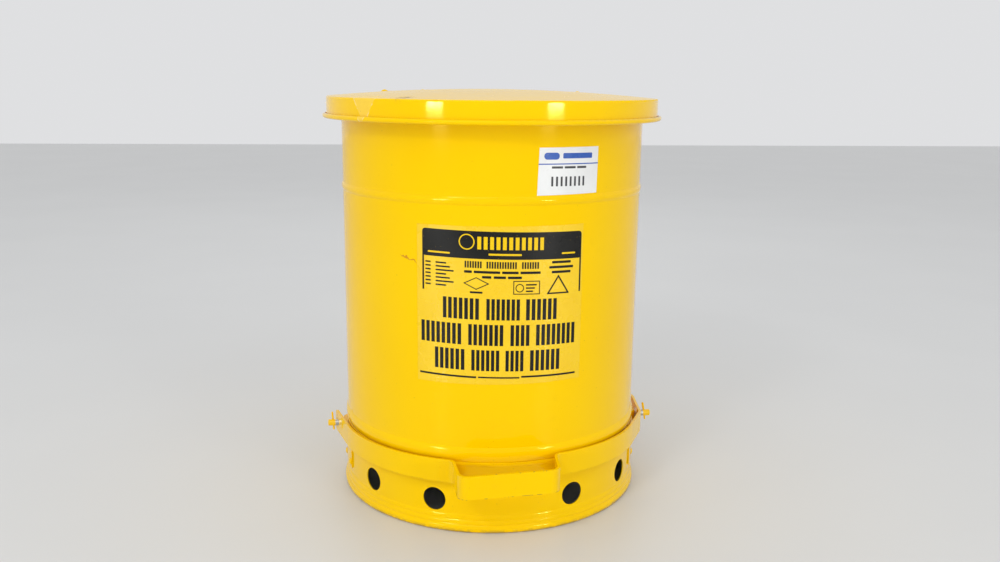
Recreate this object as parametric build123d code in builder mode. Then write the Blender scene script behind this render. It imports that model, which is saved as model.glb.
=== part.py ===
from build123d import *
import os
from math import acos, asin, atan2, cos, degrees, radians, sin, sqrt, tan

# Foot-operated oily waste can, in millimetres.
# The origin is the centre of the base ring on the floor, +Z is up and the pedal faces -Y.

# ---- driving dimensions ----
body_radius = 174.5          # outside of the straight wall
body_wall = 0.9
body_low = 50.0              # lower edge of the wall, hidden inside the base skirt
rim_top = 461.1
rim_roll = 1.8               # outside radius of the rolled rim
rib_z = 361.0                # swaged rib on the upper wall
rib_half = 4.5
rib_depth = 1.3
bead_z = 89.0                # broad bead above the base skirt
bead_half = 8.0
bead_depth = 2.0

floor_z = 58.0               # middle of the raised bottom's sheet
floor_wall = 1.0

skirt_radius = 175.2         # outside of the base skirt's straight wall
skirt_wall = 1.2
skirt_top = 80.3
foot_radius = 179.3          # outside of the rolled foot
foot_inner = 171.5
vent_radius = 13.1
vent_z = 34.5
vent_angles = (25.75, 54.65) # degrees either side of the vents' middle line, mirrored to the rear
vent_turn = -0.5             # the vents' middle line, degrees round from the front

lid_radius = 191.2           # outside of the lid's skirt
lid_wall = 1.0
lid_edge_z = 461.3           # height of the lid's top edge
lid_rise = 9.2               # height of the shallow dome over that edge
lid_corner = 2.2
curl_radius = 2.75           # curled hem round the lid's lower edge
curl_z = 440.0

pivot_z = 66.8               # height of the pedal's pivot axis, which runs along X
pivot_pin_radius = 3.97
pin_radius = 3.175           # hinge pin
pin_fit = 0.05               # running clearance on the radius
pin_root = 176.5             # inner end of a pivot pin, in its bracket's blind hole
left_boss = 180.5            # faces of the brackets' bosses, from the can's axis
right_boss = 184.2
left_pin_end = 199.3
right_pin_end = 205.7
left_cotter_x = 193.3
right_cotter_x = 198.7
left_cotter_lean = 4.0       # degrees from upright, eye towards -X
right_cotter_lean = 10.0
cotter_hole = 1.2

strap_height = 25.4
strap_thick = 2.8
left_strap = 185.85          # strap's middle line at the left pin
left_strap_end = 13.0        # distance the left end runs on behind its pin
right_strap = 188.0          # strap's middle line at the right pin
right_bend = (184.0, -32.7)  # bend between the right flank and the rear arm
rear_arm_end = (191.2, 26.0)
rear_bend_radius = 40.0
rear_bend_turn = 17.0        # degrees
rear_strap = 191.3           # strap's middle line at the lift rod
rear_strap_run = 13.3        # distance the rear end runs on past the rod
flank_radius = 178.6         # circle that both flanks follow
flank_forward = 3.0          # its centre's distance in front of the can's axis
left_tilt = 1.65             # degrees, front end up
right_tilt = 2.9
rear_tilt = 1.7              # degrees, rear end down
pedal_front = 220.6          # middle line of the pedal face, in front of the axis
pedal_half = 51.6
pedal_root_half = 55.0
pedal_shift = -3.0           # the loop is bent slightly to one side
pedal_bend = 11.0
strap_bend = 12.0
bar_reach = 240.0            # half-length of the slanting block that trims the bar's edges

plate_thick = 1.6            # pivot bracket's plate on the skirt
left_plate_span = 16.0       # degrees either side of the pin
right_plate_span = 23.5
plate_low = 27.0
plate_high = 74.3

hinge_y = 232.5
hinge_z = 452.0
hinge_boss = 9.0
ear_thick = 2.5
ear_inner = 35.5
flange_inner = 32.0
tongue_z = 462.3             # underside of the hinge plate's tongue
tongue_thick = 2.0

rod_radius = 3.0
rod_y = 203.0
rod_low = 61.0
rod_high = 435.0
rod_inner = 181.0            # inner end of the lower hook
rod_tip = 21.5               # outer end of the upper hook
rod_bend = 6.0
low_cotter_y = 184.2
high_cotter_x = 18.0
washer_radius = 6.5
washer_thick = 1.2
slot_half = 3.9              # half the width of the lift lug's slot
lug_x = 8.0
lug_thick = 3.0
guide_heights = (150.0, 320.0)
guide_fit = 0.3
guide_sheet = 1.6
guide_drop = 26.0            # depth of a guide's flange on the wall
guide_half = 12.0
guide_reach = 214.9          # rear end of a guide, from the can's axis

hinge_plate_z = 405.0        # middle of the hinge bracket's plate
hinge_plate_height = 26.0
hinge_plate_thick = 1.8
hinge_plate_span = 16.0      # degrees either side of the rear

label_mid = -2.7             # degrees round from the front, positive towards +X
label_half = 29.7
label_low = 168.0
label_high = 335.5
sticker_mid = 21.0
sticker_half = 11.7
sticker_low = 365.8
sticker_high = 416.0
label_thick = 0.25

os.makedirs("parts", exist_ok=True)


def save(part, name):
    part.label = name
    export_step(part, f"parts/{name}.step")


def round_plane(angle, radius, height):
    """Plane on a vertical cylinder, facing outwards, angle degrees round from the front."""
    turn = radians(angle)
    outward = (sin(turn), -cos(turn), 0)
    return Plane(
        origin=(radius * outward[0], radius * outward[1], height),
        x_dir=(cos(turn), sin(turn), 0),
        z_dir=outward,
    )


def sector_plane(angle):
    """Plane through the Z axis whose local x points angle degrees round from the front."""
    turn = radians(angle)
    return Plane(
        origin=(0, 0, 0),
        x_dir=(sin(turn), -cos(turn), 0),
        z_dir=(-cos(turn), -sin(turn), 0),
    )


dome_sphere = (lid_radius**2 + lid_rise**2) / (2 * lid_rise)
dome_centre = lid_edge_z + lid_rise - dome_sphere


def dome_z(radius, sphere=dome_sphere):
    """Height of a dome concentric with the lid's outer face, at a distance from the axis."""
    return dome_centre + sqrt(sphere**2 - radius**2)


# ---- can body: straight wall with a rib, a bead and a rolled rim ----
wall_mid = body_radius - body_wall / 2
low_mid = wall_mid - 0.65
with BuildPart() as body_shell:
    with BuildSketch(Plane.XZ):
        with BuildLine():
            rim_mid = rim_roll - body_wall / 2
            rim_centre = (wall_mid + rim_mid, rim_top - rim_roll)
            Polyline((low_mid, body_low), (low_mid, skirt_top - 0.8), (wall_mid, bead_z - bead_half))
            ThreePointArc(
                (wall_mid, bead_z - bead_half),
                (wall_mid + bead_depth, bead_z),
                (wall_mid, bead_z + bead_half),
            )
            Line((wall_mid, bead_z + bead_half), (wall_mid, rib_z - rib_half))
            ThreePointArc(
                (wall_mid, rib_z - rib_half),
                (wall_mid + rib_depth, rib_z),
                (wall_mid, rib_z + rib_half),
            )
            Line((wall_mid, rib_z + rib_half), (wall_mid, rim_centre[1]))
            CenterArc(rim_centre, rim_mid, 180, -270)
            offset(amount=body_wall / 2, side=Side.BOTH, mode=Mode.REPLACE)
        make_face()
    revolve(axis=Axis.Z)
save(body_shell.part, "body_shell")

# ---- raised bottom: a pan whose flange turns down inside the wall ----
with BuildPart() as raised_bottom:
    pan_mid = low_mid - body_wall / 2 - 0.1 - floor_wall / 2
    with BuildSketch(Plane.XZ):
        with BuildLine():
            FilletPolyline((0, floor_z), (pan_mid, floor_z), (pan_mid, body_low + 1), radius=5)
            offset(amount=floor_wall / 2, side=Side.BOTH, mode=Mode.REPLACE)
        make_face()
        with Locations((-10, floor_z)):
            Rectangle(20, 10, mode=Mode.SUBTRACT)
    revolve(axis=Axis.Z)
save(raised_bottom.part, "raised_bottom")

# ---- base skirt: ventilated ring with stacked ridges and a rolled foot ----
skirt_mid = skirt_radius - skirt_wall / 2
foot_mid = foot_radius - skirt_wall / 2
with BuildPart() as base_skirt:
    with BuildSketch(Plane.XZ):
        with BuildLine():
            half = skirt_wall / 2
            Line((foot_inner, half), (foot_mid - 3.2, half))
            ThreePointArc((foot_mid - 3.2, half), (foot_mid - 0.7, 1.6), (foot_mid, 4.2))
            ThreePointArc((foot_mid, 4.2), (foot_mid - 0.5, 7.2), (foot_mid - 1.7, 8.8))
            ThreePointArc((foot_mid - 1.7, 8.8), (foot_mid - 1.6, 11.6), (foot_mid - 2.9, 13.8))
            ThreePointArc((foot_mid - 2.9, 13.8), (foot_mid - 2.9, 16.6), (skirt_mid, 20.0))
            Line((skirt_mid, 20.0), (skirt_mid, skirt_top - 5.0))
            ThreePointArc(
                (skirt_mid, skirt_top - 5.0),
                (skirt_mid + 0.4, skirt_top - 2.8),
                (skirt_mid + 0.1, skirt_top - half),
            )
            offset(amount=half, side=Side.BOTH, mode=Mode.REPLACE)
        make_face()
    revolve(axis=Axis.Z)
    vent_places = [vent_turn + side * a for a in vent_angles for side in (-1, 1)]
    vent_places += [180 - a for a in vent_places]
    for angle in vent_places:
        with BuildSketch(round_plane(angle, skirt_radius + 8, vent_z)):
            Circle(vent_radius)
        extrude(amount=-16, mode=Mode.SUBTRACT)
save(base_skirt.part, "base_skirt")


# ---- fasteners used in several places ----
def rivets(planes, radius, height):
    """Domed rivet heads, one standing on each plane."""
    with BuildPart() as heads:
        for plane in planes:
            with BuildSketch(Plane(origin=plane.origin, x_dir=plane.x_dir, z_dir=-plane.y_dir)):
                with BuildLine():
                    rise = height * 0.75
                    ball = (radius**2 + rise**2) / (2 * rise)
                    half_turn = asin(radius / ball) / 2
                    crown = (ball * sin(half_turn), height - ball + ball * cos(half_turn))
                    Polyline((0, height), (0, 0), (radius, 0), (radius, height - rise))
                    ThreePointArc((radius, height - rise), crown, (0, height))
                make_face()
            revolve(axis=Axis(plane.origin, plane.z_dir))
    return heads.part


def shank_plane(plane):
    """Plane across a cotter's shank, facing away from its eye."""
    return Plane(origin=plane.origin, x_dir=plane.x_dir, z_dir=-plane.y_dir)


def cotter(plane, shaft):
    """Cotter pin through a shaft, with its eye along the plane's local y."""
    with BuildPart() as pin:
        with BuildSketch(plane.offset(-1.0)):
            with Locations((0, shaft + 5.2)):
                SlotOverall(9.2, 4.6, rotation=90)
                SlotOverall(5.8, 1.0, rotation=90, mode=Mode.SUBTRACT)
        extrude(amount=2.0)
        fillet(pin.edges(), radius=0.45)
        with BuildSketch(shank_plane(plane).offset(-shaft - 1.6)):
            Circle(1.1)
        extrude(amount=2 * shaft + 6.6)
    return pin.part


# ---- pedal pivots: bracket, rivets, pin and cotter on each side ----
for side, side_name, boss, pin_end, cotter_x, lean, span in (
    (-1, "left", left_boss, left_pin_end, left_cotter_x, left_cotter_lean, left_plate_span),
    (1, "right", right_boss, right_pin_end, right_cotter_x, right_cotter_lean, right_plate_span),
):
    bracket_angle = side * 90
    with BuildPart() as bracket:
        with BuildSketch(sector_plane(bracket_angle - span)):
            with Locations((skirt_radius + 0.1 + plate_thick / 2, (plate_low + plate_high) / 2)):
                Rectangle(plate_thick, plate_high - plate_low)
        revolve(axis=Axis.Z, revolution_arc=2 * span)
        with BuildSketch(round_plane(bracket_angle, skirt_radius + 0.6, pivot_z - 4)):
            RectangleRounded(20 + 3 * (boss - skirt_radius - plate_thick), 22, 5)
        with BuildSketch(round_plane(bracket_angle, boss, pivot_z - 1)):
            RectangleRounded(18, 15, 4)
        loft()
        with BuildSketch(Plane.XY):
            Circle(skirt_radius + 0.1)
        extrude(amount=skirt_top, mode=Mode.SUBTRACT)
        with BuildSketch(round_plane(bracket_angle, pin_root - 0.3, pivot_z)):
            Circle(pivot_pin_radius + pin_fit)
        extrude(amount=boss - pin_root + 1, mode=Mode.SUBTRACT)
    save(bracket.part, f"pivot_bracket_{side_name}")

    seat = skirt_radius + plate_thick + 0.1
    rivet_planes = [round_plane(bracket_angle + side * a, seat, plate_low + 6) for a in (-14, -2.5, 14)]
    save(rivets(rivet_planes, 4.2, 1.9), f"pivot_rivets_{side_name}")

    cotter_plane = Plane(
        origin=(side * cotter_x, 0, pivot_z),
        x_dir=(0, 1, 0),
        z_dir=(cos(radians(lean)), 0, sin(radians(lean))),
    )
    with BuildPart() as pivot_pin:
        with BuildSketch(round_plane(bracket_angle, pin_root, pivot_z)):
            Circle(pivot_pin_radius)
        extrude(amount=pin_end - pin_root)
        chamfer(pivot_pin.faces().sort_by(Axis.X)[0 if side < 0 else -1].edges(), length=0.7)
        with BuildSketch(shank_plane(cotter_plane).offset(-6)):
            Circle(cotter_hole)
        extrude(amount=12, mode=Mode.SUBTRACT)
    save(pivot_pin.part, f"pivot_pin_{side_name}")
    save(cotter(cotter_plane, pivot_pin_radius), f"pivot_cotter_{side_name}")


# ---- pedal lever: one bent flat bar from the left pin, round the front, to the rear ----
def flank_y(x):
    return -flank_forward - sqrt(flank_radius**2 - x**2)


def flank_arc(start, end):
    """Arc of the flanks' circle between two of its points."""
    middle_x = (start[0] + end[0]) / 2
    ThreePointArc(start, (middle_x, flank_y(middle_x)), end)


def flank_touch(point):
    """Point of the flanks' circle where a straight run from the given point meets it."""
    rise = point[1] + flank_forward
    reach = sqrt(point[0] ** 2 + rise**2)
    turn = atan2(-rise, abs(point[0])) + acos(flank_radius / reach)
    side = 1 if point[0] > 0 else -1
    return side * flank_radius * cos(turn), -flank_forward - flank_radius * sin(turn)


def bar_outline(front_tilt):
    """Corners of the bar's side view: level at the pins, raised in front and lowered behind."""
    front = pivot_z + bar_reach * tan(radians(front_tilt))
    rear = pivot_z - bar_reach * tan(radians(rear_tilt))
    half = strap_height / 2
    lower = [(-bar_reach, front - half), (0, pivot_z - half), (bar_reach, rear - half)]
    upper = [(bar_reach, rear + half), (0, pivot_z + half), (-bar_reach, front + half)]
    return lower + upper


with BuildPart() as pedal_lever:
    left_pin_point = (-left_strap, 0)
    left_touch = flank_touch(left_pin_point)
    left_run = Vector(*left_pin_point) - Vector(*left_touch)
    left_end = Vector(*left_pin_point) + left_run.normalized() * left_strap_end
    right_touch = flank_touch(right_bend)
    left_root = pedal_shift - pedal_root_half
    right_root = pedal_shift + pedal_root_half
    left_flank = (left_root - 14, flank_y(left_root - 14))
    right_flank = (right_root + 14, flank_y(right_root + 14))
    with BuildSketch():
        with BuildLine():
            Line(left_end, left_touch)
            flank_arc(left_touch, left_flank)
            FilletPolyline(
                left_flank,
                (left_root, flank_y(left_root)),
                (pedal_shift - pedal_half, -pedal_front),
                (pedal_shift + pedal_half, -pedal_front),
                (right_root, flank_y(right_root)),
                right_flank,
                radius=pedal_bend,
            )
            flank_arc(right_flank, right_touch)
            FilletPolyline(right_touch, right_bend, rear_arm_end, radius=strap_bend)
            arm = Vector(*rear_arm_end) - Vector(*right_bend)
            rear_bend = JernArc(rear_arm_end, arm, rear_bend_radius, rear_bend_turn)
            TangentArc(rear_bend @ 1, (-rear_strap_run, rear_strap - 0.5), tangent=rear_bend % 1)
            offset(amount=strap_thick / 2, side=Side.BOTH, mode=Mode.REPLACE)
        make_face()
    extrude(amount=2 * pivot_z)
    trim_tilts = {
        -bar_reach: left_tilt,
        left_root: left_tilt,
        right_root: right_tilt,
        bar_reach: right_tilt,
    }
    for x, front_tilt in trim_tilts.items():
        with BuildSketch(Plane.YZ.offset(x)):
            with BuildLine():
                Polyline(*bar_outline(front_tilt), close=True)
            make_face()
    loft(ruled=True, mode=Mode.INTERSECT)
    with BuildSketch(Plane.YZ.offset(-left_strap - 8)):
        with Locations((left_strap_end, pivot_z)):
            Rectangle(12, strap_height + 4)
        with Locations((left_strap_end - 8, pivot_z)):
            RectangleRounded(15, strap_height - 0.2, 4, mode=Mode.SUBTRACT)
    extrude(amount=12, mode=Mode.SUBTRACT)
    with BuildSketch(Plane.XZ.offset(-rear_strap - 6)):
        with Locations((-10, rod_low)):
            Rectangle(20, strap_height + 8)
        with Locations((0, rod_low)):
            Circle(strap_height / 2 - 0.1, mode=Mode.SUBTRACT)
            Rectangle(4, strap_height + 10, mode=Mode.SUBTRACT)
    extrude(amount=12, mode=Mode.SUBTRACT)
    for side, strap_mid in ((-1, left_strap), (1, right_strap)):
        with BuildSketch(round_plane(side * 90, strap_mid - 6, pivot_z)):
            Circle(pivot_pin_radius + pin_fit)
        extrude(amount=12, mode=Mode.SUBTRACT)
    with BuildSketch(Plane.XZ.offset(-rear_strap - 6)):
        with Locations((0, rod_low)):
            Circle(rod_radius + 1)
    extrude(amount=12, mode=Mode.SUBTRACT)
save(pedal_lever.part, "pedal_lever")

# ---- lift rod: straight rod, its lower end hooked through the lever, its upper end through the lug ----
with BuildPart() as lift_rod:
    with BuildLine() as rod_path:
        FilletPolyline(
            (0, rod_inner, rod_low),
            (0, rod_y, rod_low),
            (0, rod_y, rod_high),
            (rod_tip, rod_y, rod_high),
            radius=rod_bend,
        )
    with BuildSketch(Plane(origin=(0, rod_inner, rod_low), z_dir=(0, 1, 0))):
        Circle(rod_radius)
    sweep(path=rod_path.wires()[0])
    with BuildSketch(Plane.XY.offset(rod_low - 5)):
        with Locations((0, low_cotter_y)):
            Circle(cotter_hole)
    extrude(amount=10, mode=Mode.SUBTRACT)
    with BuildSketch(Plane.XY.offset(rod_high - 5)):
        with Locations((high_cotter_x, rod_y)):
            Circle(cotter_hole)
    extrude(amount=10, mode=Mode.SUBTRACT)
save(lift_rod.part, "lift_rod")

with BuildPart() as rod_washers:
    with BuildSketch(Plane(origin=(0, low_cotter_y + 1.7, rod_low), z_dir=(0, 1, 0))):
        Circle(washer_radius)
        Circle(rod_radius + pin_fit, mode=Mode.SUBTRACT)
    extrude(amount=washer_thick)
    with BuildSketch(Plane(origin=(lug_x + lug_thick + 0.5, rod_y, rod_high), z_dir=(1, 0, 0))):
        Circle(washer_radius)
        Circle(rod_radius + pin_fit, mode=Mode.SUBTRACT)
    extrude(amount=washer_thick)
save(rod_washers.part, "rod_washers")

lower_cotter = Plane(origin=(0, low_cotter_y, rod_low), x_dir=(1, 0, 0), z_dir=(0, -1, 0))
upper_cotter = Plane(origin=(high_cotter_x, rod_y, rod_high), x_dir=(0, -1, 0), z_dir=(1, 0, 0))
both_cotters = [cotter(lower_cotter, rod_radius), cotter(upper_cotter, rod_radius)]
save(Compound(children=both_cotters), "rod_cotters")

# ---- rod guides: folded brackets on the rear wall ----
for guide_z, guide_name in zip(guide_heights, ("lower", "upper")):
    with BuildPart() as guide:
        with BuildSketch(sector_plane(180 - 5)):
            with Locations((body_radius + 0.1 + guide_sheet / 2, guide_z - guide_drop / 2)):
                Rectangle(guide_sheet, guide_drop)
        revolve(axis=Axis.Z, revolution_arc=10)
        with BuildSketch(Plane.XY.offset(guide_z - guide_sheet)):
            with Locations((0, guide_reach - 20)):
                Rectangle(2 * guide_half, 40)
            with Locations((0, 0)):
                Circle(body_radius + 0.1, mode=Mode.SUBTRACT)
            with Locations((0, rod_y)):
                Circle(rod_radius + guide_fit, mode=Mode.SUBTRACT)
        extrude(amount=guide_sheet)
        fillet(guide.edges().filter_by(Axis.Z).sort_by(Axis.Y)[-2:], radius=7)
    save(guide.part, f"rod_guide_{guide_name}")

guide_seat = body_radius + 0.1 + guide_sheet
guide_planes = [round_plane(180, guide_seat, z - drop) for z in guide_heights for drop in (8, 19)]
save(rivets(guide_planes, 3.6, 1.8), "guide_rivets")

# ---- hinge bracket: two ears on a plate on the rear wall ----
with BuildPart() as hinge_bracket:
    with BuildSketch(sector_plane(180 - hinge_plate_span)):
        with Locations((body_radius + 0.1 + hinge_plate_thick / 2, hinge_plate_z)):
            Rectangle(hinge_plate_thick, hinge_plate_height)
    revolve(axis=Axis.Z, revolution_arc=2 * hinge_plate_span)
    for ear_x in (ear_inner, -ear_inner - ear_thick):
        with BuildSketch(Plane.YZ.offset(ear_x)):
            with Locations((body_radius - 1.9, hinge_plate_z)):
                Rectangle(2, hinge_plate_height)
            with Locations((hinge_y, hinge_z)):
                Circle(hinge_boss)
            make_hull()
            with Locations((hinge_y, hinge_z)):
                Circle(pin_radius + pin_fit, mode=Mode.SUBTRACT)
        extrude(amount=ear_thick)
    with BuildSketch(Plane.XY.offset(hinge_plate_z - hinge_plate_height)):
        Circle(body_radius + 0.1)
    extrude(amount=2 * hinge_plate_height, mode=Mode.SUBTRACT)
save(hinge_bracket.part, "hinge_bracket")

hinge_seat = body_radius + 0.1 + hinge_plate_thick
bracket_planes = [round_plane(180 + a, hinge_seat, hinge_plate_z) for a in (-14, -5, 5, 14)]
save(rivets(bracket_planes, 3.6, 1.8), "hinge_bracket_rivets")

hinge_cotter_x = ear_inner + ear_thick + 4
with BuildPart() as hinge_pin:
    with BuildSketch(Plane(origin=(-ear_inner - ear_thick - 3, hinge_y, hinge_z), z_dir=(1, 0, 0))):
        Circle(6)
    extrude(amount=2.8)
    with BuildSketch(Plane(origin=(-ear_inner - ear_thick - 1, hinge_y, hinge_z), z_dir=(1, 0, 0))):
        Circle(pin_radius)
    extrude(amount=2 * (ear_inner + ear_thick) + 9)
    fillet(hinge_pin.edges().sort_by(Axis.X)[0], radius=1.2)
    with BuildSketch(Plane.XY.offset(hinge_z - 5)):
        with Locations((hinge_cotter_x, hinge_y)):
            Circle(cotter_hole)
    extrude(amount=10, mode=Mode.SUBTRACT)
save(hinge_pin.part, "hinge_pin")

hinge_cotter = Plane(origin=(hinge_cotter_x, hinge_y, hinge_z), x_dir=(1, 0, 0), z_dir=(0, -1, 0))
save(cotter(hinge_cotter, pin_radius), "hinge_cotter")

# ---- lid: shallow dome, straight skirt and curled hem ----
with BuildPart() as lid_shell:
    with BuildSketch(Plane.XZ):
        with BuildLine():
            inset = lid_wall / 2
            skirt = lid_radius - inset
            sphere = dome_sphere - inset
            corner = lid_corner - inset
            corner_x = skirt - corner
            corner_z = dome_z(corner_x, sphere - corner)
            touch = degrees(acos(corner_x / (sphere - corner)))
            curl_mid = curl_radius - inset
            CenterArc((0, dome_centre), sphere, 90, touch - 90)
            CenterArc((corner_x, corner_z), corner, touch, -touch)
            Line((skirt, corner_z), (skirt, curl_z))
            CenterArc((skirt + curl_mid, curl_z), curl_mid, 180, 270)
            offset(amount=inset, side=Side.BOTH, mode=Mode.REPLACE)
        make_face()
        with Locations((-10, dome_z(0))):
            Rectangle(20, 10, mode=Mode.SUBTRACT)
    revolve(axis=Axis.Z)
save(lid_shell.part, "lid_shell")

# ---- lid hinge plate: crescent on the lid's rear, a tongue over the edge and two flanges ----
plate_sheet = 1.6
crescent_inner = 157.0
crescent_outer = 186.0
with BuildPart() as lid_hinge_plate:
    with BuildSketch(sector_plane(180 - 51)):
        with BuildLine():
            lift = 0.1
            outer_low = (crescent_outer, dome_z(crescent_outer) + lift)
            inner_low = (crescent_inner, dome_z(crescent_inner) + lift)
            outer_high = (crescent_outer, outer_low[1] + plate_sheet)
            inner_high = (crescent_inner, inner_low[1] + plate_sheet)
            Polyline(inner_low, outer_low, outer_high, inner_high, inner_low)
        make_face()
    revolve(axis=Axis.Z, revolution_arc=102)
    with BuildSketch(Plane.XY.offset(tongue_z)):
        with Locations((0, 211.5)):
            Rectangle(2 * (flange_inner + ear_thick), 61)
    extrude(amount=tongue_thick)
    for flange_x in (flange_inner, -flange_inner - ear_thick):
        with BuildSketch(Plane.YZ.offset(flange_x)):
            with Locations((220, tongue_z + 0.5)):
                Rectangle(42, 1)
            with Locations((hinge_y, hinge_z)):
                Circle(hinge_boss)
            make_hull()
            with Locations((hinge_y, hinge_z)):
                Circle(pin_radius + pin_fit, mode=Mode.SUBTRACT)
        extrude(amount=ear_thick)
save(lid_hinge_plate.part, "lid_hinge_plate")

plate_fall = (dome_z(crescent_inner) - dome_z(crescent_outer)) / (crescent_outer - crescent_inner)
lid_planes = []
for rivet_x, rivet_y in ((-125, 120), (-75, 152), (75, 152), (125, 120)):
    reach = sqrt(rivet_x**2 + rivet_y**2)
    seat = inner_high[1] - (reach - crescent_inner) * plate_fall + 0.05
    upward = (rivet_x / reach * plate_fall, rivet_y / reach * plate_fall, 1)
    lid_planes.append(Plane(origin=(rivet_x, rivet_y, seat), z_dir=upward))
save(rivets(lid_planes, 4.4, 3.0), "lid_rivets")

# ---- lift lug: slotted plate under the tongue that the rod pushes up ----
slot_reach = hinge_y - rod_y                       # distance from the hinge axis when the rod is level with it
slot_turn = asin((hinge_z - rod_high) / sqrt(slot_reach**2 + (hinge_z - rod_high) ** 2))
slot_inner = slot_reach - 0.2
slot_outer = slot_reach / cos(slot_turn) + 0.2


def slot_point(reach):
    """Point on the slot's middle line, at a distance from the hinge axis."""
    return hinge_y - reach * cos(slot_turn), hinge_z - reach * sin(slot_turn)


with BuildPart() as lid_lift_lug:
    with BuildSketch(Plane.YZ.offset(lug_x)):
        with Locations((216, tongue_z - 1.5)):
            Rectangle(34, 2.8)
        with Locations(slot_point(slot_inner), slot_point(slot_outer)):
            Circle(slot_half + 2.9)
        make_hull()
        with Locations(slot_point((slot_inner + slot_outer) / 2)):
            SlotCenterToCenter(
                slot_outer - slot_inner,
                2 * slot_half,
                rotation=degrees(slot_turn),
                mode=Mode.SUBTRACT,
            )
    extrude(amount=lug_thick)
save(lid_lift_lug.part, "lid_lift_lug")

# ---- front label and inventory sticker: thin sheets on the curved wall ----
for node, mid, half, low_edge, high_edge in (
    ("front_label", label_mid, label_half, label_low, label_high),
    ("inventory_sticker", sticker_mid, sticker_half, sticker_low, sticker_high),
):
    with BuildPart() as sheet:
        with BuildSketch(sector_plane(mid - half)):
            with Locations((body_radius + 0.05 + label_thick / 2, (low_edge + high_edge) / 2)):
                Rectangle(label_thick, high_edge - low_edge)
        revolve(axis=Axis.Z, revolution_arc=2 * half)
    save(sheet.part, node)
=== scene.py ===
import math

import bmesh
import bpy
from mathutils import Matrix, Vector


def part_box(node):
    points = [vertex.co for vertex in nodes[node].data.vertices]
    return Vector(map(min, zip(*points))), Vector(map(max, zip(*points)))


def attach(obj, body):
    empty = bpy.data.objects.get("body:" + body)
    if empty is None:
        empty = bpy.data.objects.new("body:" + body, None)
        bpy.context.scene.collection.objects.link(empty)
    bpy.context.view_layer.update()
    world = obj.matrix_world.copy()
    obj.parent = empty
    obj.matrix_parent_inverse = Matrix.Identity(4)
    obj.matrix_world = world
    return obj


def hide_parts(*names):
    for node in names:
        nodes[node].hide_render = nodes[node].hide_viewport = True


# Looks for the foot-operated waste can. Every length is in metres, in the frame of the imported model.

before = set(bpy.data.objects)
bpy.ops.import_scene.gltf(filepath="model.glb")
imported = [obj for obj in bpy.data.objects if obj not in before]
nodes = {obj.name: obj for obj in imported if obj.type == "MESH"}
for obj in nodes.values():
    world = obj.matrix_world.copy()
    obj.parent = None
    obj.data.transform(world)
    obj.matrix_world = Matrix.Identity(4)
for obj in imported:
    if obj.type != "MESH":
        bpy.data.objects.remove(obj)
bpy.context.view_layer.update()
scene = bpy.context.scene

MM = 0.001

# ---- places worked out from the frame ----
lid_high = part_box("lid_shell")[1].z
floor_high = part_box("raised_bottom")[1].z
pivot_z = (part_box("pivot_pin_left")[0].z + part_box("pivot_pin_left")[1].z) / 2

# ---- sizes of the CAD nodes that the marks and prints sit on ----
body_radius = 174.5 * MM
skirt_radius = 175.2 * MM
bar_half_height = 12.7 * MM
left_tilt, right_tilt = 1.65, 2.9       # degrees by which each flank of the pedal bar rises to the front
left_root, right_root = -58 * MM, 52 * MM    # X of the pedal's two ends, where the flanks begin
left_paint_from = 190.5 * MM            # the pivot pins are painted beyond these distances
right_paint_from = 196.8 * MM


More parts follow.
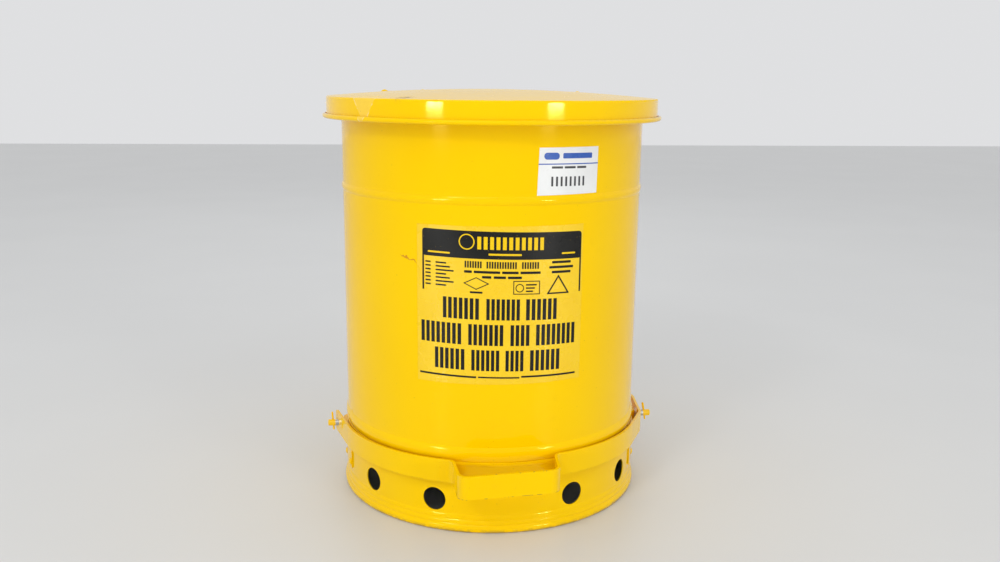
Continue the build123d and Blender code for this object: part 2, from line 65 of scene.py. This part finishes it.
# ---- node tree helpers ----
class Tree:
    """A material's node tree with short calls for the nodes used here."""

    def __init__(self, name):
        self.material = bpy.data.materials.new(name)
        self.material.use_nodes = True
        self.tree = self.material.node_tree
        self.tree.nodes.clear()
        self.output = self.tree.nodes.new("ShaderNodeOutputMaterial")
        self.shader = self.tree.nodes.new("ShaderNodeBsdfPrincipled")
        self.link(self.shader.outputs[0], self.output.inputs[0])
        self.place = self.tree.nodes.new("ShaderNodeTexCoord").outputs["Object"]

    def link(self, source, target):
        self.tree.links.new(source, target)

    def put(self, value, target):
        """Links a socket or sets a constant."""
        if isinstance(value, bpy.types.NodeSocket):
            self.link(value, target)
        else:
            target.default_value = value

    def math(self, operation, a, b=0.0, clamp=False):
        node = self.tree.nodes.new("ShaderNodeMath")
        node.operation = operation
        node.use_clamp = clamp
        self.put(a, node.inputs[0])
        self.put(b, node.inputs[1])
        return node.outputs[0]

    def add(self, a, b):
        return self.math("ADD", a, b)

    def mul(self, a, b):
        return self.math("MULTIPLY", a, b)

    def ramp(self, value, low, high, to_low=0.0, to_high=1.0):
        """Smooth step of value from low to high."""
        node = self.tree.nodes.new("ShaderNodeMapRange")
        node.interpolation_type = "SMOOTHSTEP"
        self.put(value, node.inputs["Value"])
        node.inputs["From Min"].default_value = low
        node.inputs["From Max"].default_value = high
        node.inputs["To Min"].default_value = to_low
        node.inputs["To Max"].default_value = to_high
        return node.outputs["Result"]

    def stretched(self, scale):
        node = self.tree.nodes.new("ShaderNodeMapping")
        self.link(self.place, node.inputs["Vector"])
        node.inputs["Scale"].default_value = scale
        return node.outputs[0]

    def noise(self, scale, detail=2.0, rough=0.5, where=None, distort=0.0):
        node = self.tree.nodes.new("ShaderNodeTexNoise")
        self.link(where or self.place, node.inputs["Vector"])
        node.inputs["Scale"].default_value = scale
        node.inputs["Detail"].default_value = detail
        node.inputs["Roughness"].default_value = rough
        node.inputs["Distortion"].default_value = distort
        return node.outputs["Fac"]

    def axes(self):
        node = self.tree.nodes.new("ShaderNodeSeparateXYZ")
        self.link(self.place, node.inputs[0])
        return node.outputs

    def mix(self, factor, a, b):
        node = self.tree.nodes.new("ShaderNodeMix")
        node.data_type = "RGBA"
        self.put(factor, node.inputs["Factor"])
        self.put(a, node.inputs["A"])
        self.put(b, node.inputs["B"])
        return node.outputs["Result"]

    def bump(self, height, strength, distance, under=None):
        node = self.tree.nodes.new("ShaderNodeBump")
        node.inputs["Strength"].default_value = strength
        node.inputs["Distance"].default_value = distance
        self.link(height, node.inputs["Height"])
        if under is not None:
            self.link(under, node.inputs["Normal"])
        return node.outputs[0]

    def near(self, centre, radius, soft):
        """1 inside a ball round centre, 0 outside it."""
        node = self.tree.nodes.new("ShaderNodeVectorMath")
        node.operation = "DISTANCE"
        self.link(self.place, node.inputs[0])
        node.inputs[1].default_value = centre
        return self.ramp(node.outputs["Value"], radius - soft, radius + soft, 1.0, 0.0)


def rgba(r, g, b):
    return (r, g, b, 1.0)


YELLOW = rgba(0.95, 0.60, 0.0)
YELLOW_DEEP = rgba(0.90, 0.54, 0.0)
CHIP = rgba(0.10, 0.075, 0.045)
# near-black painted shade for the hollow inside the base ring
INSIDE_PAINTED_SHADE = rgba(0.004, 0.004, 0.003)


def paint(name, marks=None):
    """Glossy sprayed enamel: orange peel, faint waves, tone and gloss variation, specks and scuffs.

    marks(tree, colour, rough) may add a piece's own wear and returns the new colour and roughness.
    """
    t = Tree(name)
    tone = t.ramp(t.noise(7.0, 3.0), 0.3, 0.7)
    colour = t.mix(tone, YELLOW_DEEP, YELLOW)
    colour = t.mix(0.72, colour, YELLOW)
    grime = t.ramp(t.noise(38.0, 6.0, 0.65), 0.60, 0.78)
    colour = t.mix(t.mul(grime, 0.06), colour, rgba(0.45, 0.27, 0.03))
    specks = t.ramp(t.noise(620.0, 1.0, 0.4), 0.785, 0.81)
    colour = t.mix(t.mul(specks, 0.45), colour, CHIP)
    rough = t.ramp(t.noise(24.0, 4.0, 0.6), 0.25, 0.75, 0.06, 0.11)
    streak = t.noise(1.0, 3.0, 0.6, t.stretched((60.0, 60.0, 900.0)), 0.6)
    scratch = t.ramp(streak, 0.70, 0.74)
    rough = t.add(rough, t.mul(scratch, 0.16))
    if marks is not None:
        colour, rough = marks(t, colour, rough)
    t.link(colour, t.shader.inputs["Base Color"])
    t.link(rough, t.shader.inputs["Roughness"])
    t.shader.inputs["IOR"].default_value = 1.42
    t.shader.inputs["Specular IOR Level"].default_value = 0.42
    t.shader.inputs["Specular Tint"].default_value = rgba(1.0, 0.78, 0.14)
    t.shader.inputs["Coat Weight"].default_value = 0.08
    t.shader.inputs["Coat Roughness"].default_value = 0.08
    waves = t.bump(t.noise(34.0, 1.0, 0.4), 0.22, 0.0005)
    peel = t.bump(t.noise(620.0, 1.5, 0.5), 0.07, 0.00016, waves)
    nicks = t.bump(t.math("SUBTRACT", 1.0, specks), 0.5, 0.0001, peel)
    t.link(nicks, t.shader.inputs["Normal"])
    return t.material


def lid_marks(t, colour, rough):
    """A scuff on the top's front left edge, faint rubs across the top and a torn patch of clear tape."""
    x, y, z = t.axes()[:3]
    broken = t.ramp(t.noise(240.0, 5.0, 0.7), 0.47, 0.53)
    scuff_point = (-0.105, -0.146, lid_high - 0.0082)
    scuff = t.mul(t.near(scuff_point, 0.009, 0.005), broken)
    colour = t.mix(t.mul(scuff, 0.9), colour, rgba(0.16, 0.09, 0.04))
    rubs = t.ramp(t.noise(1.0, 4.0, 0.62, t.stretched((22.0, 160.0, 40.0)), 1.2), 0.66, 0.74)
    top = t.ramp(z, lid_high - 0.0100, lid_high - 0.0085)
    rubs = t.mul(rubs, top)
    colour = t.mix(t.mul(rubs, 0.12), colour, rgba(0.62, 0.40, 0.12))
    rough = t.add(rough, t.mul(rubs, 0.12))
    rough = t.add(rough, t.mul(top, 0.12))
    tape_turn = math.radians(-50)
    tape_point = (-0.1465, -0.1229, 0.449)
    around = t.math("ABSOLUTE", t.add(t.mul(x, math.cos(tape_turn)), t.mul(y, math.sin(tape_turn))))
    tape_low, tape_spread, tape_tip = 0.437, 0.62, 0.002
    width = t.add(t.mul(t.math("SUBTRACT", z, tape_low), tape_spread), tape_tip)
    past_edge = t.math("SUBTRACT", around, width)
    patch = t.near(tape_point, 0.024, 0.003)
    tape = t.mul(patch, t.ramp(past_edge, -0.0004, 0.0004, 1.0, 0.0))
    rim = t.ramp(t.math("ABSOLUTE", past_edge), 0.0003, 0.0009, 1.0, 0.0)
    rim = t.mul(t.mul(rim, patch), t.ramp(t.noise(120.0, 3.0), 0.47, 0.53))
    colour = t.mix(t.mul(tape, 0.16), colour, rgba(0.93, 0.78, 0.36))
    colour = t.mix(t.mul(rim, 0.45), colour, rgba(0.95, 0.88, 0.62))
    rough = t.add(rough, t.mul(tape, 0.14))
    return colour, t.add(rough, t.mul(scuff, 0.35))


def body_marks(t, colour, rough):
    """A small reddish scratch beside the label."""
    wander = t.mul(t.math("SUBTRACT", t.noise(90.0, 2.0, 0.5), 0.5), 0.02)
    x, _, z = t.axes()[:3]
    fall = 0.55
    scratch_x, scratch_z = -0.102, 0.298
    line = t.add(t.add(z, t.mul(x, fall)), wander)
    away = t.math("ABSOLUTE", t.math("SUBTRACT", line, scratch_z + fall * scratch_x))
    spot = t.near((scratch_x, -0.141, scratch_z), 0.010, 0.003)
    scratch = t.mul(t.ramp(away, 0.0003, 0.0012, 1.0, 0.0), spot)
    return t.mix(t.mul(scratch, 0.8), colour, rgba(0.55, 0.16, 0.02)), t.add(rough, t.mul(scratch, 0.3))


def skirt_marks(t, colour, rough):
    """Painted shade: near-black colour on the inside of the ring, where the hollow under the can lies in
    shade, and a little floor dirt at the foot.
    """
    x, y, z = t.axes()[:3]
    reach = t.math("SQRT", t.add(t.mul(x, x), t.mul(y, y)))
    geometry = t.tree.nodes.new("ShaderNodeNewGeometry")
    outward = t.tree.nodes.new("ShaderNodeVectorMath")
    outward.operation = "DOT_PRODUCT"
    t.link(geometry.outputs["True Normal"], outward.inputs[0])
    t.link(t.place, outward.inputs[1])
    # painted shade: faces turned inward towards the axis get a near-black colour
    inside = t.ramp(outward.outputs["Value"], -0.060, -0.020, 1.0, 0.0)
    inner = t.mul(inside, t.ramp(reach, skirt_radius - 0.0030, skirt_radius - 0.0015, 0.0, 1.0))
    dirt = t.mul(t.ramp(z, 0.0015, 0.006, 1.0, 0.0), t.ramp(t.noise(160.0, 4.0), 0.35, 0.6))
    colour = t.mix(t.mul(dirt, 0.45), colour, rgba(0.16, 0.11, 0.05))
    return t.mix(inner, colour, INSIDE_PAINTED_SHADE), t.add(t.add(rough, t.mul(dirt, 0.3)), t.mul(inner, 0.6))


def pedal_marks(t, colour, rough):
    """Chips through the paint along the bar's lower and upper edges, most of them on the pedal itself."""
    x, y, z = t.axes()[:3]
    left, right = math.tan(math.radians(left_tilt)), math.tan(math.radians(right_tilt))
    across = t.math("MULTIPLY", t.math("SUBTRACT", x, left_root), 1 / (right_root - left_root), clamp=True)
    slope = t.add(t.mul(across, right - left), left)
    height = t.add(t.math("SUBTRACT", z, pivot_z), t.mul(y, slope))
    low_edge = t.ramp(height, 0.0001 - bar_half_height, 0.0008 - bar_half_height, 1.0, 0.0)
    high_edge = t.ramp(height, bar_half_height - 0.0006, bar_half_height - 0.0001)
    front = t.ramp(y, -0.205, -0.185, 1.0, 0.25)
    gaps = t.ramp(t.noise(95.0, 4.0, 0.65), 0.50, 0.56)
    chips = t.mul(t.mul(low_edge, gaps), front)
    few = t.ramp(t.noise(150.0, 4.0, 0.7), 0.62, 0.66)
    chips = t.math("MAXIMUM", chips, t.mul(t.mul(high_edge, few), front))
    colour = t.mix(t.mul(chips, 0.85), colour, CHIP)
    return colour, t.add(rough, t.mul(chips, 0.4))


def steel(name, painted_beyond=None):
    """Zinc-bright steel with fine turning lines. Beyond a distance from the YZ plane it is painted over."""
    t = Tree(name)
    x = t.axes()[0]
    lines = t.noise(1.0, 3.0, 0.6, t.stretched((2200.0, 160.0, 160.0)))
    blotch = t.noise(70.0, 4.0, 0.6)
    colour = t.mix(t.ramp(blotch, 0.3, 0.7), rgba(0.50, 0.49, 0.46), rgba(0.66, 0.65, 0.62))
    rough = t.add(t.ramp(lines, 0.3, 0.7, 0.20, 0.34), t.mul(blotch, 0.12))
    metal = 1.0
    if painted_beyond is not None:
        edge = t.add(t.math("ABSOLUTE", x), t.mul(t.math("SUBTRACT", t.noise(300.0, 3.0), 0.5), 0.0012))
        cover = t.ramp(edge, painted_beyond - 0.0002, painted_beyond + 0.0002)
        colour = t.mix(cover, colour, YELLOW)
        metal = t.math("SUBTRACT", 1.0, cover)
    t.link(colour, t.shader.inputs["Base Color"])
    t.link(rough, t.shader.inputs["Roughness"])
    t.put(metal, t.shader.inputs["Metallic"])
    t.link(t.bump(lines, 0.25, 0.00004), t.shader.inputs["Normal"])
    return t.material


def rod_steel(name):
    """Drawn rod: lines run along it, with grease darkening and light rub marks."""
    t = Tree(name)
    lines = t.noise(1.0, 3.0, 0.6, t.stretched((1500.0, 1500.0, 30.0)))
    grease = t.ramp(t.noise(28.0, 5.0, 0.65), 0.45, 0.68)
    colour = t.mix(t.ramp(lines, 0.3, 0.7), rgba(0.46, 0.45, 0.43), rgba(0.63, 0.62, 0.60))
    colour = t.mix(t.mul(grease, 0.5), colour, rgba(0.20, 0.17, 0.13))
    t.link(colour, t.shader.inputs["Base Color"])
    t.link(t.ramp(lines, 0.2, 0.8, 0.22, 0.38), t.shader.inputs["Roughness"])
    t.shader.inputs["Metallic"].default_value = 1.0
    t.link(t.bump(lines, 0.2, 0.00004), t.shader.inputs["Normal"])
    return t.material


def bottom_sheet_with_painted_shade(name):
    """Raised bottom sheet: near-black painted shade on its underside, which lies in shade under the can, and
    a duller yellow on its upper face, with drip stains and fine grain.
    """
    t = Tree(name)
    stain = t.ramp(t.noise(14.0, 6.0, 0.65, None, 1.0), 0.35, 0.7)
    # painted shade: the underside gets a near-black colour, varied by the stains
    colour = t.mix(stain, rgba(0.008, 0.007, 0.006), rgba(0.004, 0.004, 0.003))
    upper = t.ramp(t.axes()[2], floor_high - 0.0006, floor_high - 0.0003)
    inside = t.mix(stain, rgba(0.62, 0.40, 0.02), rgba(0.40, 0.25, 0.02))
    t.link(t.mix(upper, colour, inside), t.shader.inputs["Base Color"])
    t.link(t.ramp(t.noise(60.0, 4.0), 0.3, 0.7, 0.55, 0.8), t.shader.inputs["Roughness"])
    t.shader.inputs["Specular IOR Level"].default_value = 0.15
    t.link(t.bump(t.noise(240.0, 3.0), 0.2, 0.0002), t.shader.inputs["Normal"])
    return t.material


def vinyl(name, base, worn, shine):
    """Printed vinyl or paper: slight mottling, tiny fibres, and soft ripples where it lifts."""
    t = Tree(name)
    mottle = t.ramp(t.noise(30.0, 5.0, 0.6), 0.3, 0.7)
    colour = t.mix(mottle, base, worn)
    flecks = t.ramp(t.noise(700.0, 2.0, 0.5), 0.70, 0.74)
    t.link(t.mix(t.mul(flecks, 0.25), colour, rgba(0.30, 0.26, 0.18)), t.shader.inputs["Base Color"])
    t.link(t.ramp(t.noise(55.0, 4.0), 0.3, 0.7, shine, shine + 0.12), t.shader.inputs["Roughness"])
    ripples = t.bump(t.noise(26.0, 2.0, 0.5), 0.25, 0.0005)
    t.link(t.bump(t.noise(900.0, 2.0), 0.12, 0.00005, ripples), t.shader.inputs["Normal"])
    return t.material


def ink(name, base, worn):
    """Screen-printed ink with small pinholes and slight fading."""
    t = Tree(name)
    fade = t.ramp(t.noise(22.0, 4.0, 0.6), 0.35, 0.75)
    colour = t.mix(t.mul(fade, 0.5), base, worn)
    holes = t.ramp(t.noise(800.0, 2.0, 0.5), 0.73, 0.76)
    t.link(t.mix(t.mul(holes, 0.4), colour, YELLOW), t.shader.inputs["Base Color"])
    t.link(t.ramp(t.noise(60.0, 4.0), 0.3, 0.7, 0.25, 0.40), t.shader.inputs["Roughness"])
    t.shader.inputs["Specular IOR Level"].default_value = 0.22
    t.link(t.bump(t.noise(900.0, 2.0), 0.10, 0.00004), t.shader.inputs["Normal"])
    return t.material


# ---- materials for the CAD nodes ----
plain_paint = paint("paint_plain")
looks = {
    "body_shell": paint("paint_body", body_marks),
    "base_skirt": paint("paint_skirt", skirt_marks),
    "lid_shell": paint("paint_lid", lid_marks),
    "pedal_lever": paint("paint_pedal", pedal_marks),
    # the raised bottom carries painted shade on its underside
    "raised_bottom": bottom_sheet_with_painted_shade("bottom_sheet_painted_shade"),
    "pivot_pin_left": steel("steel_pivot_left", left_paint_from),
    "pivot_pin_right": steel("steel_pivot_right", right_paint_from),
    "lift_rod": rod_steel("steel_rod"),
    "hinge_pin": steel("steel_pin"),
    "front_label": vinyl("label_film", rgba(0.90, 0.60, 0.005), rgba(0.88, 0.565, 0.003), 0.22),
}
for name in ("rod_washers", "rod_cotters", "hinge_cotter"):
    looks[name] = looks["hinge_pin"]


def dress(node, material):
    mesh = node.data
    mesh.materials.clear()
    mesh.materials.append(material)


for name, node in nodes.items():
    dress(node, looks.get(name, plain_paint))


# ---- printed pieces wrapped on the wall ----
def on_wall(u, z, mid_angle, lift):
    """Point on the can's wall, u metres round from mid_angle (degrees) and lift metres off the wall."""
    turn = math.radians(mid_angle) + u / body_radius
    radius = body_radius + lift
    return Vector((radius * math.sin(turn), -radius * math.cos(turn), z))


def wrap(name, outlines, mid_angle, lift, material, thick=0.00006):
    """A thin sheet piece made of flat outlines, each a list of (u, z), wrapped round the wall."""
    mesh = bmesh.new()
    for outline in outlines:
        corners = [mesh.verts.new((u, z, 0)) for u, z in outline]
        mesh.faces.new(corners)
    low = min(u for outline in outlines for u, _ in outline)
    high = max(u for outline in outlines for u, _ in outline)
    step = 0.003
    for i in range(1, int((high - low) / step) + 1):
        parts = mesh.verts[:] + mesh.edges[:] + mesh.faces[:]
        bmesh.ops.bisect_plane(mesh, geom=parts, plane_co=(low + i * step, 0, 0), plane_no=(1, 0, 0))
    grown = bmesh.ops.extrude_face_region(mesh, geom=mesh.faces[:])
    top = {item for item in grown["geom"] if isinstance(item, bmesh.types.BMVert)}
    for vertex in mesh.verts:
        vertex.co = on_wall(vertex.co.x, vertex.co.y, mid_angle, lift + (thick if vertex in top else 0.0))
    bmesh.ops.recalc_face_normals(mesh, faces=mesh.faces[:])
    data = bpy.data.meshes.new(name)
    mesh.to_mesh(data)
    mesh.free()
    piece = bpy.data.objects.new(name, data)
    scene.collection.objects.link(piece)
    data.materials.append(material)
    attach(piece, "can")
    return piece


def block(u0, u1, z0, z1):
    return [(u0, z0), (u1, z0), (u1, z1), (u0, z1)]


def rounded(u0, u1, z0, z1, radius, steps=5):
    """Rectangle with rounded corners."""
    points = []
    centres = ((u1 - radius, z0 + radius, -90), (u1 - radius, z1 - radius, 0),
               (u0 + radius, z1 - radius, 90), (u0 + radius, z0 + radius, 180))
    for u, z, start in centres:
        for i in range(steps + 1):
            angle = math.radians(start + 90 * i / steps)
            points.append((u + radius * math.cos(angle), z + radius * math.sin(angle)))
    return points


def stroke(a, b, width):
    """Straight bar from a to b."""
    along = (Vector(b) - Vector(a)).normalized() * width / 2
    side = Vector((-along.y, along.x))
    a, b = Vector(a) - along, Vector(b) + along
    return [tuple(a - side), tuple(b - side), tuple(b + side), tuple(a + side)]


def ring(u, z, radius, width, steps=32):
    """Circle line as short bars."""
    parts = []
    for i in range(steps):
        p, q = (2 * math.pi * k / steps for k in (i, i + 1))
        inner, outer = radius - width / 2, radius + width / 2
        parts.append([
            (u + inner * math.cos(p), z + inner * math.sin(p)),
            (u + outer * math.cos(p), z + outer * math.sin(p)),
            (u + outer * math.cos(q), z + outer * math.sin(q)),
            (u + inner * math.cos(q), z + inner * math.sin(q)),
        ])
    return parts


def scaled(outlines, tilt):
    """Outlines given in millimetres turned into metres, with the print's slight slope."""
    return [[(u * MM, (z + tilt * u) * MM) for u, z in outline] for outline in outlines]


def word_row(words, low, high, corner):
    """A row of plain rounded bars, one for each (start, end)."""
    return [rounded(start, end, low, high, corner) for start, end in words]


def bar_row(words, low, high, pitch, fill):
    """A row of plain upright bars, grouped into one block for each (start, end)."""
    bars = []
    for start, end in words:
        count = max(1, round((end - start) / pitch))
        step = (end - start) / count
        for i in range(count):
            u = start + i * step
            bars.append(block(u, u + fill * step, low, high))
    return bars


# ---- front label: plain bars, lines and empty signs ----
# Outlines are in millimetres, round the wall from the label's middle and up from the floor.
LABEL_MID = -1.95         # degrees round from the front
LABEL_TILT = -0.022       # rise of the print's rows for each unit along them
PRINT_LIFT = 0.00034      # metres off the wall, just above the label's film


def closed_line(points, width):
    """Straight bars joining the points, the last one to the first."""
    return [stroke(a, b, width) for a, b in zip(points, points[1:] + points[:1])]


def label_signs():
    """Empty diamond, frame and triangle, and the small circle inside the frame."""
    signs = closed_line([(-41.0, 275.8), (-28.5, 281.9), (-16.0, 275.8), (-28.5, 269.7)], 0.9)
    signs += closed_line([(10.2, 265.5), (10.2, 279.0), (37.6, 279.0), (37.6, 265.5)], 0.9)
    signs += closed_line([(58.7, 283.5), (47.0, 265.5), (70.4, 265.5)], 1.6)
    return signs + ring(16.5, 271.8, 4.0, 0.9)


def label_small_lines():
    """Thin bars where the small print would be."""
    lines = word_row(((-41.0, -33.0), (-31.0, -4.0), (-2.0, 15.0), (17.0, 38.5)), 286.6, 289.2, 0.6)
    lines += word_row(((-22.5, -13.0), (-10.5, 2.0), (4.0, 18.5)), 281.4, 284.0, 0.6)
    for i in range(7):
        z = 295.4 - 3.9 * i
        lines += word_row(((-83.0, -77.0), (-71.5, -60.0 + 4.0 * (i % 3))), z - 0.9, z + 0.7, 0.4)
    for i, width in enumerate((22.0, 28.0, 22.0)):
        z = 297.0 - 5.2 * i
        lines += word_row(((62.0 - width / 2, 62.0 + width / 2),), z, z + 2.6, 0.6)
    for i in range(3):
        z = 274.5 - 3.4 * i
        lines += word_row(((23.0, 34.5 - 2.0 * i),), z, z + 1.5, 0.4)
    lines += word_row(((-35.0, -22.0),), 265.4, 267.4, 0.6)
    return lines + word_row(((-26.0, 17.5),), 174.6, 176.2, 0.5)


def label_rows():
    """Upright bars where the title and the three large rows of words would be."""
    rows = bar_row(((-40.5, -22.0), (-18.0, 14.0), (18.5, 37.5)), 292.0, 299.0, 2.6, 0.62)
    large = (
        (237.5, ((-63.5, -23.6), (-17.8, 18.7), (23.6, 59.5))),
        (210.0, ((-88.0, -42.0), (-36.4, 1.7), (7.5, 29.4), (34.9, 82.0))),
        (182.5, ((-72.5, -38.5), (-33.1, -2.3), (2.6, 23.3), (28.8, 64.0))),
    )
    for low, words in large:
        rows += bar_row(words, low, low + 22.5, 5.6, 0.66)
    return rows


def print_label():
    black_ink = ink("ink_black", rgba(0.008, 0.008, 0.007), rgba(0.024, 0.022, 0.020))
    gold_ink = ink("ink_yellow", rgba(0.88, 0.57, 0.004), rgba(0.84, 0.54, 0.01))
    black = [rounded(-86.5, 86.0, 301.5, 330.0, 3.5)]
    black += [block(-86.5, -84.6, 265.5, 304.0), block(84.1, 86.0, 265.5, 304.0)]
    black += [block(-90.0, -28.0, 174.2, 176.2), block(19.5, 82.0, 175.4, 177.4)]
    black += label_rows() + label_signs() + label_small_lines()
    wrap("label_black_print", scaled(black, LABEL_TILT), LABEL_MID, PRINT_LIFT, black_ink)
    gold = bar_row(((-27.5, 44.0),), 311.5, 324.5, 6.5, 0.60) + ring(-38.5, 318.8, 7.6, 1.2)
    gold += [rounded(-16.0, 18.0, 305.5, 307.5, 0.6), rounded(-80.0, -56.0, 305.2, 307.0, 0.6)]
    gold += [rounded(62.0, 78.0, 306.5, 308.3, 0.6)]
    gold_lift = PRINT_LIFT + 0.0001
    wrap("label_yellow_print", scaled(gold, LABEL_TILT), LABEL_MID, gold_lift, gold_ink)


# ---- inventory sticker: white paper with plain bars ----
STICKER_MID = 21.0


def make_sticker():
    paper = vinyl("sticker_paper", rgba(0.80, 0.81, 0.80), rgba(0.74, 0.75, 0.74), 0.35)
    blue_ink = ink("ink_blue", rgba(0.03, 0.10, 0.42), rgba(0.08, 0.16, 0.45))
    grey_ink = ink("ink_grey", rgba(0.05, 0.05, 0.055), rgba(0.16, 0.16, 0.16))
    sheet = [(-36.9, 366.6), (34.6, 366.9), (35.7, 414.9), (-35.0, 414.9)]
    sheet_lift, sheet_thick = 0.00005, 0.00025
    outline = scaled([sheet], 0.0)
    sticker = wrap("sticker_paper", outline, STICKER_MID, sheet_lift, paper, sheet_thick)
    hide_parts("inventory_sticker")
    blue = [stroke((-35.3, 398.0), (35.0, 398.0), 1.1), rounded(-30.0, -13.0, 402.5, 409.5, 3.4)]
    blue += word_row(((-9.0, 27.0),), 403.5, 409.0, 1.0)
    wrap("sticker_blue_print", scaled(blue, -0.01), STICKER_MID, PRINT_LIFT, blue_ink)
    grey = word_row(((-21.5, -9.0), (-7.0, 6.0), (8.0, 19.5)), 393.4, 395.6, 0.5)
    grey += bar_row(((-21.9, 20.4),), 375.4, 385.2, 5.3, 0.42)
    wrap("sticker_grey_print", scaled(grey, -0.014), STICKER_MID, PRINT_LIFT, grey_ink)


print_label()
make_sticker()


# ---- camera at the eye point of the view, plain floor and soft studio light ----
def make_camera():
    data = bpy.data.cameras.new("camera")
    data.sensor_width = 36.0
    data.lens = 33.6
    camera = bpy.data.objects.new("camera", data)
    scene.collection.objects.link(camera)
    turn, pitch, roll = math.radians(6.986), math.radians(12.136), math.radians(0.637)
    forward = Vector((math.sin(turn) * math.cos(pitch), math.cos(turn) * math.cos(pitch), -math.sin(pitch)))
    level = Vector((math.cos(turn), -math.sin(turn), 0))
    raised = level.cross(forward)
    right = level * math.cos(roll) + raised * math.sin(roll)
    up = raised * math.cos(roll) - level * math.sin(roll)
    turned = Matrix((right, up, -forward)).transposed().to_4x4()
    eye = Vector((-0.12374, -1.10243, 0.4804))
    camera.matrix_world = Matrix.Translation(eye) @ turned
    scene.camera = camera


def make_floor():
    mesh = bmesh.new()
    bmesh.ops.create_grid(mesh, x_segments=2, y_segments=2, size=6.0)
    data = bpy.data.meshes.new("floor")
    mesh.to_mesh(data)
    mesh.free()
    floor = bpy.data.objects.new("floor", data)
    scene.collection.objects.link(floor)
    t = Tree("floor_pale")
    colour = t.mix(t.noise(3.0, 3.0), rgba(0.66, 0.665, 0.66), rgba(0.70, 0.705, 0.70))
    t.link(colour, t.shader.inputs["Base Color"])
    t.shader.inputs["Roughness"].default_value = 0.45
    data.materials.append(t.material)


def area_light(name, where, size, power):
    """Rectangular lamp of the given width and height, turned to the middle of the can."""
    data = bpy.data.lights.new(name, "AREA")
    data.energy = power
    data.shape = "RECTANGLE"
    data.size, data.size_y = size
    light = bpy.data.objects.new(name, data)
    light.location = where
    middle = Vector((0, 0, 0.26))
    light.rotation_euler = (middle - Vector(where)).to_track_quat("-Z", "Y").to_euler()
    scene.collection.objects.link(light)


def make_light():
    world = bpy.data.worlds.new("studio")
    world.use_nodes = True
    background = world.node_tree.nodes["Background"]
    background.inputs["Color"].default_value = rgba(0.95, 0.955, 0.97)
    background.inputs["Strength"].default_value = 0.78
    scene.world = world
    eye_turn, lamp_reach = -6.4, 2.2
    for offset, height, name in ((-36, 0.43, "lamp_left"), (40, 0.43, "lamp_right"), (-30, 1.9, "lamp_high")):
        turn = math.radians(eye_turn + offset)
        place = (lamp_reach * math.sin(turn), -lamp_reach * math.cos(turn), height)
        area_light(name, place, (0.38, 0.05), 7.0)
    area_light("key_soft", (-0.9, -2.2, 2.2), (1.6, 1.6), 8.0)
    area_light("fill_soft", (1.3, -2.0, 2.0), (1.6, 1.6), 5.5)
    area_light("rear_soft", (0.2, 1.9, 2.0), (1.8, 1.8), 6.0)


make_camera()
make_floor()
make_light()
scene.view_settings.view_transform = "Standard"
